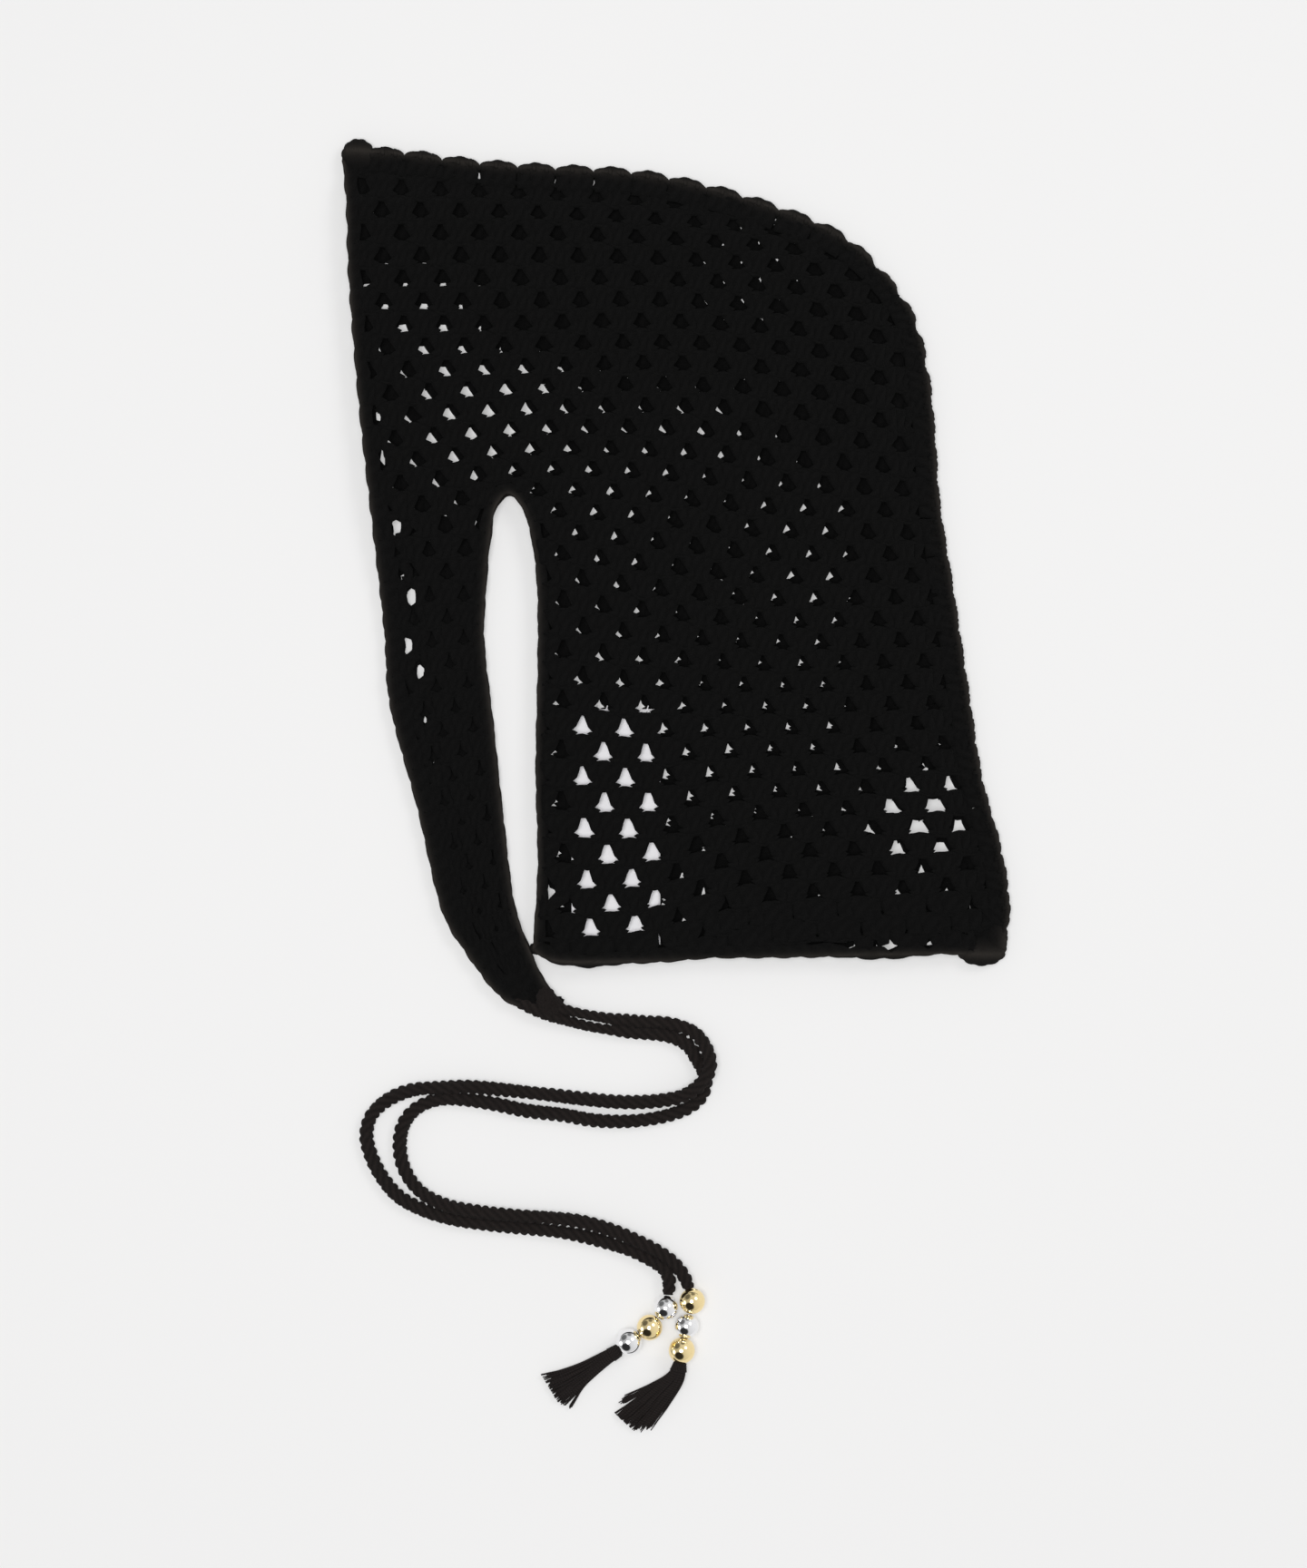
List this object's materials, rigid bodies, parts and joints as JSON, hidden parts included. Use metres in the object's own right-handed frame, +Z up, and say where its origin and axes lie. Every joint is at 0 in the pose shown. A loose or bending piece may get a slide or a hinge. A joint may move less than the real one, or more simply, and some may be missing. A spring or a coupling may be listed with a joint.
{
  "type": "crochet hood",
  "caption": "Black open-work crochet hood lying flat, folded double along a corded seam, with tapering front straps, long tie cords, metal balls and thread tassels.",
  "frame": {"origin": "centre of the hood's outline without its cords, on the surface that it lies on", "axes": "+X from the face opening to the back of the head, +Y from the neck to the crown, +Z up from the surface"},
  "size_m": [0.3086, 0.6006, 0.0114],
  "materials": {
    "black_yarn": "matt crochet yarn",
    "cord_yarn": "matt crochet cord",
    "tassel_thread": "soft loose thread",
    "gold_metal": "mirror-polished pale gold",
    "silver_metal": "mirror-polished silver",
    "label_satin": "white satin, bare"
  },
  "bodies": {
    "root": {"side_panel_upper": "black_yarn", "side_panel_lower": "black_yarn", "crown_seam": "black_yarn", "front_band_upper": "black_yarn", "front_band_lower": "black_yarn", "notch_band_upper": "black_yarn", "notch_band_lower": "black_yarn", "neck_hem_upper": "black_yarn", "neck_hem_lower": "black_yarn", "tie_cord_left": "cord_yarn", "tie_cord_right": "cord_yarn", "bead_left_1": "silver_metal", "bead_left_2": "gold_metal", "bead_left_3": "silver_metal", "bead_right_1": "gold_metal", "bead_right_2": "silver_metal", "bead_right_3": "gold_metal", "tassel_left": "tassel_thread", "tassel_right": "tassel_thread", "care_label": "label_satin"}
  },
  "joints": []
}
